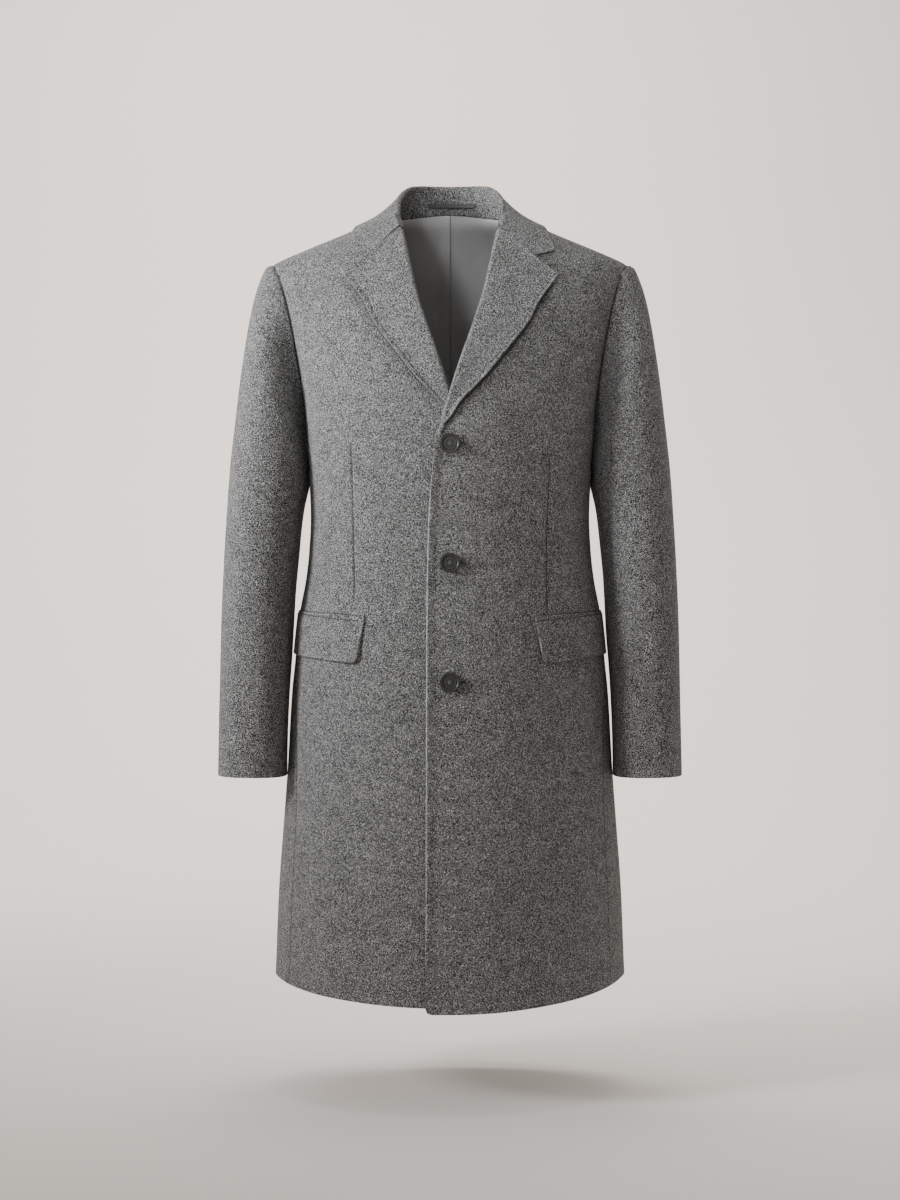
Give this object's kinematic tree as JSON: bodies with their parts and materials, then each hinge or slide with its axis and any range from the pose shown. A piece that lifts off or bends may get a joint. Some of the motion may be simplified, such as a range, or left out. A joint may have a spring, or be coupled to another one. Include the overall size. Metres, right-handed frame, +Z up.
{
  "type": "wool overcoat",
  "caption": "Single-breasted wool overcoat with notched lapels and slanted flap pockets, hollow and filled out as if worn, open at neck, hem and cuffs.",
  "frame": {"origin": "inside the neck, in the middle plane, at the height where the wearer's shoulders carry the coat", "axes": "+Z up to the collar, -Y out of the coat's front, +X to the wearer's left"},
  "size_m": [0.592, 0.3186, 1.0506],
  "materials": {
    "wool": "mid-grey melange wool flannel, lightly brushed",
    "lining": "taupe-grey satin lining",
    "button": "dark grey-brown, semi-gloss"
  },
  "bodies": {
    "root": {"front_left": "wool", "front_right": "wool", "back_left": "wool", "back_right": "wool", "top_sleeve_left": "wool", "top_sleeve_right": "wool", "under_sleeve_left": "wool", "under_sleeve_right": "wool", "lapel_left": "wool", "lapel_right": "wool", "collar": "wool", "pocket_flap_left": "wool", "pocket_flap_right": "wool", "pocket_welt_left": "wool", "pocket_welt_right": "wool", "button_top": "button", "button_middle": "button", "button_bottom": "button", "back_lining": "lining", "hanger_loop": "lining"}
  },
  "joints": []
}
